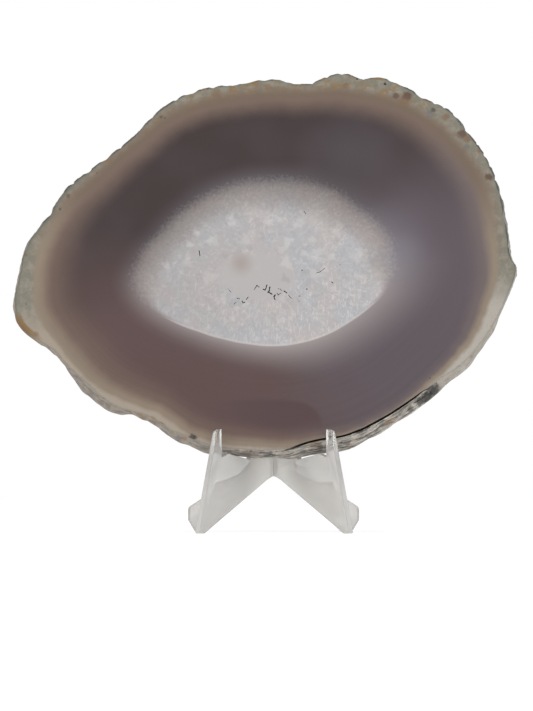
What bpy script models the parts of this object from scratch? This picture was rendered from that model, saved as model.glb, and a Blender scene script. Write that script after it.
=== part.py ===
"""A polished agate slice that leans on a small clear easel of two interlocking panels.

Metres, +Z up. The origin is on the surface that the easel stands on, under the middle
of the whole object. +X is the viewer's right and +Y points away from the viewer.
"""
import math

import bmesh
import bpy
from mathutils import Matrix, Vector, noise

MM = 0.001

# The slice: its lean, its thickness, and where the lowest point of its polished face is
SLICE_LEAN = math.radians(15.0)
SLICE_THICKNESS = 7.0 * MM
SLICE_FOOT_Y = -15.5 * MM
SLICE_FOOT_Z = 24.6 * MM

# Edge of the polished face, anticlockwise from its left end, in millimetres: the distance to
# the right of the easel's middle, and the height up the leaning face from its lowest point
FACE_EDGE = (
    (-79.5, 47.0), (-78.5, 42.0), (-73.0, 36.0), (-68.0, 32.5), (-66.0, 30.5), (-64.5, 28.5),
    (-62.0, 26.0), (-59.0, 23.0), (-55.5, 20.0), (-52.5, 17.0), (-47.0, 13.5), (-43.5, 12.5),
    (-37.5, 10.5), (-34.5, 9.0), (-30.5, 6.0), (-25.0, 4.0), (-19.0, 1.5), (-11.5, 0.5),
    (-3.5, 0.0), (5.0, 1.0), (11.0, 3.2), (22.0, 5.3), (32.0, 10.0), (41.0, 16.0),
    (45.5, 19.3), (50.5, 22.5), (57.5, 27.5), (64.0, 35.0), (68.5, 42.5), (72.0, 50.0),
    (74.5, 56.5), (74.8, 59.3), (73.2, 62.0), (72.7, 68.0), (71.5, 78.5), (69.5, 88.0),
    (66.0, 97.0), (61.8, 103.5), (55.5, 112.0), (47.5, 116.2), (40.0, 121.2), (33.7, 123.3),
    (28.0, 123.1), (21.5, 124.8), (14.0, 122.3), (11.0, 121.0), (3.5, 122.3), (-3.5, 122.7),
    (-10.5, 121.3), (-17.0, 120.5), (-25.0, 118.6), (-32.5, 114.8), (-39.0, 109.0), (-44.0, 103.0),
    (-51.5, 96.5), (-57.5, 91.5), (-66.5, 83.2), (-70.0, 76.0), (-73.0, 72.5), (-77.2, 64.0),
    (-78.5, 55.5),
)
EDGE_STEPS = 4  # points of the finished edge for each point above

# The rim, as rings from the polished face to the back: depth behind the face, and how far
# the ring stands out from the face's edge
RIM_RINGS = (
    (0.0 * MM, -0.10 * MM), (0.35 * MM, 0.10 * MM), (0.8 * MM, 0.30 * MM), (1.9 * MM, 0.45 * MM),
    (3.1 * MM, 0.50 * MM), (4.3 * MM, 0.45 * MM), (5.4 * MM, 0.30 * MM), (6.5 * MM, 0.05 * MM),
    (SLICE_THICKNESS, -0.40 * MM),
)
GROOVE_RING = 1  # ring that sinks between the polished face and the skin where they part
LIP_RING = 2  # ring at the skin's front lip beside that groove
GROOVE_DEPTH = 1.5 * MM
GROOVE_LIP_DEPTH = 0.5 * MM
GROOVE_LIP_OUT = 0.45 * MM
GROOVE_FROM_X = 4.0 * MM
GROOVE_TO_X = 46.0 * MM
GROOVE_FADE = 5.0 * MM

# The skin spreads outward behind the lower edge, most of all at the lower right, and draws in
# behind the upper edge
SKIN_SPREAD_RIGHT = 2.2 * MM
SKIN_SPREAD_MIDDLE = 0.5 * MM
SKIN_MIDDLE_FROM_X = -28.0 * MM
SKIN_DRAW_IN = 1.3 * MM

# Stretches of the lower rim where the skin is fuller or thinner: right of the easel's middle and
# how far the back of the skin stands out more, in millimetres
SKIN_FULLNESS = (
    (-80.0, 0.0), (-76.0, -1.7), (-66.0, -1.9), (-62.0, 0.3), (-58.0, 1.4), (-53.0, 1.0),
    (-48.0, 0.0), (-42.0, -1.6), (-36.0, 0.2), (-28.0, 0.8), (-20.0, 0.2), (0.0, 0.1),
    (9.0, 0.7), (15.0, 1.2), (20.0, 1.2), (28.0, 0.0), (34.0, 0.2), (42.0, 0.6), (50.0, 1.4),
    (57.0, 0.8), (62.0, 0.0), (66.0, -0.8), (70.0, -1.5), (74.0, -1.2), (78.0, 0.0),
)

# How far down or up the edge must face for these to start and to be full: 1 is straight down or
# straight up
SPREAD_FACING = (0.15, 0.7)
DRAW_IN_FACING = (0.1, 0.8)
GROOVE_FACING = (0.2, 0.5)
SEAT_FACING = (0.3, 0.7)
FULLNESS_FACING = (0.0, 0.3)

# Lumps and ledges of the skin
LUMP_SIZE = 6.5 * MM
LUMP_HEIGHT = 0.95 * MM
KNOB_SIZE = 3.2 * MM
KNOB_HEIGHT = 0.50 * MM
LEDGE_LENGTH = 14.0 * MM
LEDGE_HEIGHT = 0.70 * MM
FACE_EDGE_ROUGHNESS = 0.30 * MM
BACK_EDGE_SHARE = 0.5  # share of the relief that is left at the edge of the back

# Where in the noise field each kind of relief is read
KNOB_FIELD = Vector((7.0, 3.0, 5.0))
LEDGE_FIELD_STEP = 4.0  # from one ring of the rim to the next
LEDGE_FIELD_ROW = 0.5
FACE_EDGE_FIELD = (0.3, 0.7)

# Where the lower rim sits in the two notches of the easel, its skin is worn flatter
SEAT_FROM_X = 7.0 * MM
SEAT_TO_X = 17.0 * MM
SEAT_FADE = 3.0 * MM
SEAT_ROUGHNESS = 0.25
SEAT_WEAR = 0.30 * MM

# Pits in the crystal core: right of the easel's middle, height up the face, length and width
# in millimetres, and the turn of the long side in degrees
PITS = (
    (-5.5, 52.0, 1.5, 0.8, 70), (-2.3, 51.7, 1.4, 0.7, -35), (-0.9, 51.0, 1.6, 0.6, 60),
    (1.5, 50.0, 1.7, 0.8, 20), (3.5, 50.8, 1.2, 0.8, -60), (5.3, 48.9, 1.2, 0.6, 10),
    (-12.0, 47.9, 1.3, 0.7, 30), (-8.4, 48.2, 1.6, 0.6, -15), (-13.4, 51.4, 0.9, 0.6, 0),
)
PIT_DEPTH = 0.7 * MM
PIT_SIDES = 7
PIT_FLOOR_RADIUS = 0.15  # shares of the pit's length and width
PIT_TOP_RADIUS = 0.5  # the same, as far in front of the face as the floor is behind it

# The easel: two equal panels that cross at a right angle, each turned this much from the viewer's
# left-right line
PANEL_THICKNESS = 2.0 * MM
PANEL_TURN = math.radians(45.0)
FIT_GAP = 0.3 * MM

# Side outline of a panel in millimetres: the distance along the panel from the crossing, towards
# the front below zero, the height, and the radius that rounds the corner
PANEL_OUTLINE = (
    (-32.3, 0.0, 0.5), (-24.9, 30.4, 1.5), (-23.0, 31.2, 0.2), (-23.0, 22.6, 0.4),
    (-20.2, 23.8, 0.8), (-11.1, 22.1, 0.8), (4.0, 62.0, 1.2), (8.3, 62.0, 1.8),
    (5.6, 21.8, 8.0), (37.5, 7.6, 1.4), (37.5, 3.6, 0.6), (34.3, 0.0, 0.4),
    (30.4, 0.0, 0.3), (29.8, 3.4, 0.5), (0.0, 18.4, 8.0), (-30.0, 0.0, 0.5),
)
CORNER_STEP = math.radians(15.0)  # turn of a rounded corner for each of its points

# Half-lap slots where the panels cross: one from below, the other from above
SLOT_MEETING_HEIGHT = 36.0 * MM
SLOT_LOW_END = 10.0 * MM
SLOT_HIGH_END = 60.0 * MM
SLOT_MOUTH_HEIGHT = 45.5 * MM
SLOT_MOUTH_FRONT = -3.0 * MM
SLOT_WIDTH = PANEL_THICKNESS + 2.0 * FIT_GAP
SLOT_CUT_THROUGH = 3.0 * PANEL_THICKNESS

# Place of the crossing, so that the origin is under the middle of the whole object
CROSSING = Vector((2.45 * MM, -1.88 * MM, 0.0))


def clear_scene():
    for old in list(bpy.data.objects):
        bpy.data.objects.remove(old, do_unlink=True)


def new_collection(name):
    collection = bpy.data.collections.new(name)
    bpy.context.scene.collection.children.link(collection)
    return collection


def make_material(name, colour, roughness, transmission=0.0):
    material = bpy.data.materials.new(name)
    material.use_nodes = True
    shader = material.node_tree.nodes["Principled BSDF"]
    shader.inputs["Base Color"].default_value = (*colour, 1.0)
    shader.inputs["Roughness"].default_value = roughness
    shader.inputs["Metallic"].default_value = 0.0
    shader.inputs["Transmission Weight"].default_value = transmission
    return material


def new_object(name, data, collection, material=None):
    obj = bpy.data.objects.new(name, data)
    collection.objects.link(obj)
    if material is not None:
        data.materials.append(material)
    return obj


def smoothstep(low, high, value):
    share = min(max((value - low) / (high - low), 0.0), 1.0)
    return share * share * (3.0 - 2.0 * share)


def mesh_of_curve(curve, collection):
    """The mesh of a curve, with its parts welded. The curve is removed."""
    guide = new_object(curve.name + "_guide", curve, collection)
    depsgraph = bpy.context.evaluated_depsgraph_get()
    mesh = bpy.data.meshes.new_from_object(guide.evaluated_get(depsgraph))
    bpy.data.objects.remove(guide)
    bpy.data.curves.remove(curve)
    bm = bmesh.new()
    bm.from_mesh(mesh)
    bmesh.ops.remove_doubles(bm, verts=bm.verts, dist=0.00001)
    bm.to_mesh(mesh)
    bm.free()
    return mesh


def smooth_face_edge(collection):
    """Points of the face's edge, from a closed smooth curve through the points of FACE_EDGE."""
    curve = bpy.data.curves.new("face_edge", "CURVE")
    curve.dimensions = "2D"
    curve.fill_mode = "NONE"
    curve.resolution_u = EDGE_STEPS
    spline = curve.splines.new("BEZIER")
    spline.bezier_points.add(len(FACE_EDGE) - 1)
    for point, (right, up) in zip(spline.bezier_points, FACE_EDGE):
        point.co = (right * MM, up * MM, 0.0)
        point.handle_left_type = "AUTO"
        point.handle_right_type = "AUTO"
    spline.use_cyclic_u = True
    mesh = mesh_of_curve(curve, collection)
    points = [vertex.co.to_2d() for vertex in mesh.vertices]
    bpy.data.meshes.remove(mesh)
    return points


def outward(points, index):
    """Unit normal, away from the face, at a point of its closed anticlockwise edge."""
    before = points[index - 1]
    after = points[(index + 1) % len(points)]
    along = (after - before).normalized()
    return Vector((along.y, -along.x))


def skin_fullness(point, normal):
    """How much more the skin stands out at a stretch of the lower rim that is listed as fuller."""
    for (left, less), (right, more) in zip(SKIN_FULLNESS, SKIN_FULLNESS[1:]):
        if left * MM <= point.x < right * MM:
            share = (point.x - left * MM) / ((right - left) * MM)
            return smoothstep(*FULLNESS_FACING, -normal.y) * (less + share * (more - less)) * MM
    return 0.0


def skin_spread(point, normal):
    """How far the back of the skin stands out from the face's edge at a point of the edge."""
    below = smoothstep(*SPREAD_FACING, -normal.y)
    above = smoothstep(*DRAW_IN_FACING, normal.y)
    right = smoothstep(GROOVE_FROM_X - GROOVE_FADE, GROOVE_FROM_X + GROOVE_FADE, point.x)
    right *= 1.0 - smoothstep(GROOVE_TO_X - GROOVE_FADE, GROOVE_TO_X + 2.0 * GROOVE_FADE, point.x)
    middle = smoothstep(SKIN_MIDDLE_FROM_X - GROOVE_FADE, SKIN_MIDDLE_FROM_X + GROOVE_FADE, point.x)
    middle *= 1.0 - smoothstep(GROOVE_TO_X, GROOVE_TO_X + GROOVE_FADE, point.x)
    spread = max(SKIN_SPREAD_RIGHT * right, SKIN_SPREAD_MIDDLE * middle)
    return below * spread + skin_fullness(point, normal) - above * SKIN_DRAW_IN


def seat_share(point, normal):
    """1 where the rim sits in a notch of the easel, 0 away from the notches."""
    side = abs(point.x)
    inner = smoothstep(SEAT_FROM_X - SEAT_FADE, SEAT_FROM_X, side)
    outer = 1.0 - smoothstep(SEAT_TO_X, SEAT_TO_X + SEAT_FADE, side)
    return inner * outer * smoothstep(*SEAT_FACING, -normal.y)


def skin_roughness(point, depth, travelled, layer):
    """Height of the lumps, knobs and ledges of the skin at a place on the rim."""
    place = Vector((point.x, depth, point.y))
    lumps = LUMP_HEIGHT * noise.noise(place / LUMP_SIZE)
    knobs = KNOB_HEIGHT * noise.noise(place / KNOB_SIZE + KNOB_FIELD)
    stretch = Vector((travelled / LEDGE_LENGTH, LEDGE_FIELD_STEP * layer, LEDGE_FIELD_ROW))
    ledges = LEDGE_HEIGHT * noise.noise(stretch)
    return lumps + knobs + ledges


def rim_ring(points, normals, travelled, layer):
    """Points of one ring of the rim: across the slice, depth behind the face, up the face."""
    depth, out = RIM_RINGS[layer]
    last = len(RIM_RINGS) - 1
    ring = []
    for point, normal, far in zip(points, normals, travelled):
        parted = smoothstep(GROOVE_FROM_X, GROOVE_FROM_X + GROOVE_FADE, point.x)
        parted *= 1.0 - smoothstep(GROOVE_TO_X - GROOVE_FADE, GROOVE_TO_X, point.x)
        parted *= smoothstep(*GROOVE_FACING, -normal.y)
        here_depth = depth
        here_out = out
        if layer == 0:
            stretch = Vector((far / KNOB_SIZE, *FACE_EDGE_FIELD))
            here_out += FACE_EDGE_ROUGHNESS * noise.noise(stretch)
        elif layer == GROOVE_RING:
            here_depth += parted * (GROOVE_DEPTH - depth)
            here_out -= parted * out
        elif layer == LIP_RING:
            here_depth += parted * (GROOVE_LIP_DEPTH - depth)
            here_out += parted * (GROOVE_LIP_OUT - out)
        else:
            seat = seat_share(point, normal)
            rough = 1.0 - seat * (1.0 - SEAT_ROUGHNESS)
            if layer == last:
                rough *= BACK_EDGE_SHARE
            here_out += skin_spread(point, normal) * depth / SLICE_THICKNESS
            here_out += rough * skin_roughness(point, depth, far, layer) - seat * SEAT_WEAR
        place = point + normal * here_out
        ring.append(Vector((place.x, here_depth, place.y)))
    return ring


def make_slice_mesh(collection):
    """The slice upright, with its polished face at y = 0: rings of the rim, lofted and capped."""
    points = smooth_face_edge(collection)
    normals = [outward(points, index) for index in range(len(points))]
    travelled = [0.0]
    for before, after in zip(points, points[1:]):
        travelled.append(travelled[-1] + (after - before).length)
    bm = bmesh.new()
    rings = []
    for layer in range(len(RIM_RINGS)):
        ring = rim_ring(points, normals, travelled, layer)
        rings.append([bm.verts.new(place) for place in ring])
    count = len(points)
    for front, back in zip(rings, rings[1:]):
        for index in range(count):
            after = (index + 1) % count
            bm.faces.new((front[index], front[after], back[after], back[index]))
    bm.faces.new(rings[0])
    bm.faces.new(rings[-1])
    bmesh.ops.recalc_face_normals(bm, faces=bm.faces)
    mesh = bpy.data.meshes.new("agate_slice")
    bm.to_mesh(mesh)
    bm.free()
    return mesh


def make_pit_cutter(collection):
    """Tapered cutters for the pits of the crystal core, in one mesh."""
    bm = bmesh.new()
    for right, up, length, width, turn in PITS:
        made = bmesh.ops.create_cone(
            bm,
            cap_ends=True,
            segments=PIT_SIDES,
            radius1=PIT_FLOOR_RADIUS,
            radius2=PIT_TOP_RADIUS,
            depth=2.0 * PIT_DEPTH,
        )
        size = Matrix.Diagonal((length * MM, width * MM, 1.0, 1.0))
        stand = Matrix.Rotation(math.radians(90.0), 4, "X")
        spin = Matrix.Rotation(math.radians(turn), 4, "Z")
        place = Matrix.Translation((right * MM, 0.0, up * MM))
        bmesh.ops.transform(bm, matrix=place @ stand @ spin @ size, verts=made["verts"])
    mesh = bpy.data.meshes.new("pit_cutter")
    bm.to_mesh(mesh)
    bm.free()
    return new_object("pit_cutter", mesh, collection)


def make_box_cutter(name, size, centre, collection):
    bm = bmesh.new()
    bmesh.ops.create_cube(bm, size=1.0)
    bmesh.ops.scale(bm, vec=size, verts=bm.verts)
    bmesh.ops.translate(bm, vec=centre, verts=bm.verts)
    mesh = bpy.data.meshes.new(name)
    bm.to_mesh(mesh)
    bm.free()
    return new_object(name, mesh, collection)


def cut(obj, cutter):
    """Takes the cutter's shape out of the object. The cutter is placed as the object is."""
    cutter.parent = obj
    cutter.hide_render = True
    cutter.display_type = "WIRE"
    difference = obj.modifiers.new("cut_" + cutter.name, "BOOLEAN")
    difference.operation = "DIFFERENCE"
    difference.object = cutter


def rounded_outline(corners):
    """Points of a closed outline whose corners are rounded by arcs of their own radius."""
    outline = []
    count = len(corners)
    for index, (along, up, radius) in enumerate(corners):
        corner = Vector((along * MM, up * MM))
        before = Vector(corners[index - 1][:2]) * MM
        after = Vector(corners[(index + 1) % count][:2]) * MM
        back = (before - corner).normalized()
        ahead = (after - corner).normalized()
        half = back.angle(ahead) / 2.0
        centre = corner + (back + ahead).normalized() * radius * MM / math.sin(half)
        reach = radius * MM / math.tan(half)
        start = corner + back * reach - centre
        turn = start.angle_signed(corner + ahead * reach - centre)
        steps = max(2, math.ceil(abs(turn) / CORNER_STEP))
        for step in range(steps + 1):
            spoke = start.copy()
            spoke.rotate(Matrix.Rotation(-turn * step / steps, 2))
            outline.append(centre + spoke)
    return outline


def make_panel_mesh(name, collection):
    """A panel in its own plane: x along it, y up, and its thickness along z."""
    curve = bpy.data.curves.new(name, "CURVE")
    curve.dimensions = "2D"
    curve.fill_mode = "BOTH"
    curve.extrude = PANEL_THICKNESS / 2.0
    outline = rounded_outline(PANEL_OUTLINE)
    spline = curve.splines.new("POLY")
    spline.points.add(len(outline) - 1)
    for point, place in zip(spline.points, outline):
        point.co = (place.x, place.y, 0.0, 1.0)
    spline.use_cyclic_u = True
    mesh = mesh_of_curve(curve, collection)
    mesh.name = name
    return mesh


def make_panel(name, turn, stand, parts, cutters, material):
    panel = new_object(name, make_panel_mesh(name, parts), parts, material)
    panel.rotation_euler = (math.radians(90.0), 0.0, turn)
    panel.parent = stand
    if name == "easel_panel_left":
        low = SLOT_LOW_END
        high = SLOT_MEETING_HEIGHT + FIT_GAP / 2.0
    else:
        low = SLOT_MEETING_HEIGHT - FIT_GAP / 2.0
        high = SLOT_HIGH_END
        mouth_width = SLOT_WIDTH / 2.0 - SLOT_MOUTH_FRONT
        mouth = make_box_cutter(
            "slot_mouth",
            (mouth_width, SLOT_HIGH_END - SLOT_MOUTH_HEIGHT, SLOT_CUT_THROUGH),
            (SLOT_MOUTH_FRONT + mouth_width / 2.0, (SLOT_HIGH_END + SLOT_MOUTH_HEIGHT) / 2.0, 0.0),
            cutters,
        )
        cut(panel, mouth)
    slot = make_box_cutter(
        "slot_of_" + name,
        (SLOT_WIDTH, high - low, SLOT_CUT_THROUGH),
        (0.0, (high + low) / 2.0, 0.0),
        cutters,
    )
    cut(panel, slot)
    return panel


def main():
    clear_scene()
    parts = new_collection("agate_slice_on_easel")
    cutters = new_collection("cutters")
    stone = make_material("banded_agate", (0.16, 0.13, 0.14), 0.25)
    plastic = make_material("clear_plastic", (0.80, 0.80, 0.78), 0.08, transmission=0.9)

    stand = bpy.data.objects.new("crossing", None)
    stand.location = CROSSING
    parts.objects.link(stand)

    agate = new_object("agate_slice", make_slice_mesh(parts), parts, stone)
    agate.location = (0.0, SLICE_FOOT_Y, SLICE_FOOT_Z)
    agate.rotation_euler = (-SLICE_LEAN, 0.0, 0.0)
    agate.parent = stand
    cut(agate, make_pit_cutter(cutters))

    make_panel("easel_panel_left", PANEL_TURN, stand, parts, cutters, plastic)
    make_panel("easel_panel_right", math.pi - PANEL_TURN, stand, parts, cutters, plastic)


main()
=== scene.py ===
# %% [markdown]
# # A polished agate slice on a clear easel
# An agate grows in a hollow of the rock: skin first, then one thin layer of chalcedony after
# another, and coarse quartz last, in the middle. A slice shows all of it. This lesson dresses
# the solids of such a slice and of its easel. Nothing moves, so every piece rides on one body.

# %% Load the frame
import math

import bpy
import numpy as np
from mathutils import Matrix, Vector, noise


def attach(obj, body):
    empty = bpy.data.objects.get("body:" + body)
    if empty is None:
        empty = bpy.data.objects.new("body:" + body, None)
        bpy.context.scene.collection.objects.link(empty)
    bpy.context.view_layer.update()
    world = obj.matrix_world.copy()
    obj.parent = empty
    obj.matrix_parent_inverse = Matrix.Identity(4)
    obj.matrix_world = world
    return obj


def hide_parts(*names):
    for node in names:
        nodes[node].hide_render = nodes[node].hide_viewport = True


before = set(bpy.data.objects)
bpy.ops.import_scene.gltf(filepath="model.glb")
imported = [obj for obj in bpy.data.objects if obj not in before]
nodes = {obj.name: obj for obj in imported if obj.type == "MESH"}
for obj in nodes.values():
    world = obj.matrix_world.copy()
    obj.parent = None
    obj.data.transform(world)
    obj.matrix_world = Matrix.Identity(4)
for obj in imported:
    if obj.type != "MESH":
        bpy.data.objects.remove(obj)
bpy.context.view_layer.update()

MM = 0.001
print("the solids:", sorted(nodes))

# %% [markdown]
# ## Where the slice leans
# The slice is easiest to think of upright: millimetres to the right, behind the polished face,
# and up. One matrix leans it back and sets it in the notches of the easel, as the solid is, and
# its inverse brings any point of the mesh back to those upright millimetres.

# %% The place of the slice
CROSSING = Vector((2.45 * MM, -1.88 * MM, 0.0))
SLICE_FOOT = CROSSING + Vector((0.0, -15.5 * MM, 24.6 * MM))
SLICE_LEAN = math.radians(15.0)
THICKNESS = 7.0  # millimetres

lean = Matrix.Rotation(-SLICE_LEAN, 4, "X")
slice_to_world = Matrix.Translation(SLICE_FOOT) @ lean @ Matrix.Scale(MM, 4)
world_to_slice = slice_to_world.inverted()


def places_of(piece):
    """Upright millimetres of all the points of a piece: right, behind the face, up."""
    points = np.empty(len(piece.data.vertices) * 3)
    piece.data.vertices.foreach_get("co", points)
    points = points.reshape(-1, 3)
    turn = np.array(world_to_slice.to_3x3())
    return points @ turn.T + np.array(world_to_slice.translation)


def set_places(piece, places):
    turn = np.array(slice_to_world.to_3x3())
    points = places @ turn.T + np.array(slice_to_world.translation)
    piece.data.vertices.foreach_set("co", points.ravel())
    piece.data.update()


# %% [markdown]
# ## The camera
# The photograph was taken from almost the height of the table: the front and the rear feet of the
# easel end on one level. So the camera stands low and looks up a little, through a long lens.

# %% The camera
PHOTO_WIDTH = 533
PHOTO_HEIGHT = 711
FOCAL_PIXELS = 2293.0
SENSOR = 36.0
CAMERA_PLACE = CROSSING + Vector((-2.25 * MM, -703.5 * MM, 10.0 * MM))
CAMERA_PITCH = math.radians(3.6)

camera_data = bpy.data.cameras.new("photo_camera")
camera_data.sensor_width = SENSOR
camera_data.lens = SENSOR * FOCAL_PIXELS / PHOTO_HEIGHT
camera_data.clip_start = 10.0 * MM
camera = bpy.data.objects.new("photo_camera", camera_data)
camera.location = CAMERA_PLACE
camera.rotation_euler = (math.pi / 2.0 + CAMERA_PITCH, 0.0, 0.0)
bpy.context.scene.collection.objects.link(camera)
bpy.context.scene.camera = camera
bpy.context.view_layer.update()
print("lens of", round(camera_data.lens, 1), "mm")

# %% [markdown]
# The marks on the stone were read off the photograph, in pixels. A ray from the camera
# through such a pixel meets the polished face at the place of the mark.

# %% From a pixel to the face


def on_face(across, down, depth=0.0):
    """Right and up, in upright millimetres, of what a pixel shows at a depth behind the face."""
    ray = Vector((across - PHOTO_WIDTH / 2.0, PHOTO_HEIGHT / 2.0 - down, -FOCAL_PIXELS))
    ray = world_to_slice.to_3x3() @ camera.matrix_world.to_3x3() @ ray
    start = world_to_slice @ camera.matrix_world.translation
    place = start - ray * (start.y - depth) / ray.y
    return place.x, place.z


CORE_MIDDLE = on_face(263, 262)
print("middle of the quartz core on the face:", [round(number, 1) for number in CORE_MIDDLE])

# %% [markdown]
# ## The rings of the agate
# Two lines give the pattern of the whole slice: the edge of the quartz core, and the line where
# the pale rind ends and the brown chalcedony starts. Each is kept as a distance from the core's
# middle for each direction, so any point of the mesh can be told how far it is from both.

# %% Lines read off the photograph
CORE_EDGE_SEEN = (
    (398, 266), (397, 240), (381, 219), (359, 202), (334, 185), (310, 178), (270, 176),
    (250, 177), (215, 187), (189, 201), (155, 232), (138, 249), (127, 278), (135, 298),
    (151, 311), (172, 322), (198, 332), (224, 340), (249, 345), (273, 347), (300, 344),
    (321, 338), (348, 324), (369, 309), (390, 289),
)
CREAM_LINE_SEEN = (
    (495, 260), (490, 230), (480, 185), (465, 162), (445, 138), (420, 118), (400, 107),
    (370, 99), (300, 97), (240, 100), (205, 106), (170, 120), (140, 145), (100, 180),
    (70, 205), (55, 225), (42, 250), (37, 270), (37, 310), (50, 330), (70, 355), (90, 378),
    (100, 386), (130, 400), (160, 410), (175, 421), (190, 432), (210, 439), (250, 444),
    (290, 446), (320, 440), (352, 433), (380, 420), (410, 401), (425, 386), (450, 362),
    (472, 338), (487, 300), (493, 285),
)


def turn_and_distance(right, up):
    """Direction, in radians from the right, and distance from the core's middle."""
    away_right = np.asarray(right) - CORE_MIDDLE[0]
    away_up = np.asarray(up) - CORE_MIDDLE[1]
    return np.arctan2(away_up, away_right), np.hypot(away_right, away_up)


def round_line(seen, softness):
    """Directions and distances of a line round the core, blurred over so many degrees."""
    places = np.array([on_face(*pixel) for pixel in seen])
    turns, distances = turn_and_distance(places[:, 0], places[:, 1])
    order = np.argsort(turns)
    evenly = np.linspace(-math.pi, math.pi, 360, endpoint=False)
    line = np.interp(evenly, turns[order], distances[order], period=2.0 * math.pi)
    window = np.hanning(2 * softness + 3)[1:-1]
    wrapped = np.concatenate([line[-softness:], line, line[:softness]])
    return evenly, np.convolve(wrapped, window / window.sum(), "valid")


def line_at(line, turns):
    return np.interp(turns, line[0], line[1], period=2.0 * math.pi)


core_line = round_line(CORE_EDGE_SEEN, 7)
cream_line = round_line(CREAM_LINE_SEEN, 4)
print("the core is", round(float(core_line[1].min()), 1), "to",
      round(float(core_line[1].max()), 1), "mm from its middle")

# %% [markdown]
# The layers are not equally soft all round. On top the quartz fades into a milky haze, and at the
# bottom it ends in a sharp line. These short lists give that softness by direction, in degrees
# from the right and upward, each with a width in millimetres or a share.

# %% Softness round the slice
WARM_WIDTHS = ((0, 10.0), (30, 11.0), (60, 10.0), (90, 8.0), (120, 8.0), (150, 9.5),
               (180, 15.0), (210, 17.0), (240, 9.0), (270, 9.0), (300, 3.5), (330, 4.0))
FADE_WIDTHS = ((0, 10.0), (15, 12.5), (30, 15.0), (45, 14.0), (60, 16.0), (90, 12.0),
               (120, 11.0), (150, 11.5), (180, 13.0), (194, 8.0), (206, 2.8), (220, 1.2),
               (270, 0.8), (300, 0.8), (330, 1.0), (345, 2.5))
HAZE_WIDTHS = ((0, 19.0), (30, 10.0), (60, 7.0), (90, 6.0), (120, 6.0), (150, 6.0),
               (180, 6.0), (210, 8.0), (240, 8.5), (270, 9.5), (300, 14.0), (330, 16.0))
EDGE_LEVELS = ((0, 0.72), (15, 0.38), (30, 0.15), (60, 0.16), (90, 0.24), (120, 0.24),
               (150, 0.14), (180, 0.14), (210, 0.60), (240, 0.80), (270, 0.95), (300, 0.95),
               (330, 0.84), (345, 0.74))


def by_direction(pairs, turns):
    angles = [math.radians(degrees) for degrees, amount in pairs]
    amounts = [amount for degrees, amount in pairs]
    return np.interp(turns, angles, amounts, period=2.0 * math.pi)


print("the brown is", WARM_WIDTHS[6][1], "mm from the cream line on the left")

# %% [markdown]
# ## The stone: its skin
# A copy of the solid's mesh is the start, with its doubled points merged. Both sawn faces come
# off, which leaves the rim as an open band. Subdivision rounds the band and gives it enough
# points for real grain, and two displacements roughen it as the rock that it grew against.

# %% Helpers for work in edit mode


def work_on(piece):
    """Makes a piece the only one that the operators act on."""
    bpy.ops.object.select_all(action="DESELECT")
    bpy.context.view_layer.objects.active = piece
    piece.select_set(True)


def edit():
    bpy.ops.object.mode_set(mode="EDIT")


def leave_edit():
    bpy.ops.object.mode_set(mode="OBJECT")


def select_only(piece, vertices=(), edges=(), faces=()):
    """Selects these elements by number and nothing else. It is called in object mode."""
    mesh = piece.data
    for elements, wanted in ((mesh.vertices, vertices), (mesh.edges, edges),
                             (mesh.polygons, faces)):
        flags = np.zeros(len(elements), bool)
        flags[list(wanted)] = True
        elements.foreach_set("select", flags)


def finish_modifier(piece, modifier):
    work_on(piece)
    bpy.ops.object.modifier_apply(modifier=modifier.name)


# %% Copy the solid and take off its faces
PIT_FIELD = 25.0  # all the pits are nearer than this to the core's middle


def copy_of(node_name, name):
    piece = bpy.data.objects.new(name, nodes[node_name].data.copy())
    bpy.context.scene.collection.objects.link(piece)
    piece.data.materials.clear()
    work_on(piece)
    edit()
    bpy.ops.mesh.select_all(action="SELECT")
    bpy.ops.mesh.remove_doubles(threshold=0.01 * MM)
    bpy.ops.mesh.customdata_custom_splitnormals_clear()
    leave_edit()
    return piece


stone = copy_of("agate_slice", "agate_stone")
places = places_of(stone)
distances = turn_and_distance(places[:, 0], places[:, 2])[1]
flat = 0.01
sawn = []
for face in stone.data.polygons:
    corners = list(face.vertices)
    depths = places[corners, 1]
    if depths.max() < flat or depths.min() > THICKNESS - flat:
        sawn.append(face.index)
    elif distances[corners].max() < PIT_FIELD:
        sawn.append(face.index)
select_only(stone, faces=sawn)
edit()
bpy.ops.mesh.select_mode(type="FACE")
bpy.ops.mesh.delete(type="FACE")
bpy.ops.mesh.select_all(action="SELECT")
bpy.ops.mesh.tris_convert_to_quads()
bpy.ops.mesh.select_mode(type="VERT")
leave_edit()
print("the open rim has", len(stone.data.vertices), "points")

# %% [markdown]
# At the lower right the skin has parted from the chalcedony, which leaves a crack, painted black
# as the shade in it. Its floor and its lip are creased first, so that the subdivision doesn't melt
# them away.

# %% Crease the crack
CRACK_FROM = 2.0  # millimetres to the right of the easel's middle
CRACK_TO = 47.0
CRACK_FLOOR = (0.30, 1.60)  # depths between which its floor lies
CRACK_LIP = (0.45, 0.85)


def edge_loops(piece):
    """Point numbers of the open edges at the front and at the back."""
    counts = np.zeros(len(piece.data.edges), int)
    for loop in piece.data.loops:
        counts[loop.edge_index] += 1
    open_edges = np.flatnonzero(counts == 1)
    depth = places_of(piece)[:, 1]
    front = [int(e) for e in open_edges if depth[piece.data.edges[e].vertices[0]] < 1.0]
    back = [int(e) for e in open_edges if depth[piece.data.edges[e].vertices[0]] >= 1.0]
    return front, back


def points_of_edges(piece, edges):
    return sorted({point for edge in edges for point in piece.data.edges[edge].vertices})


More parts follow.
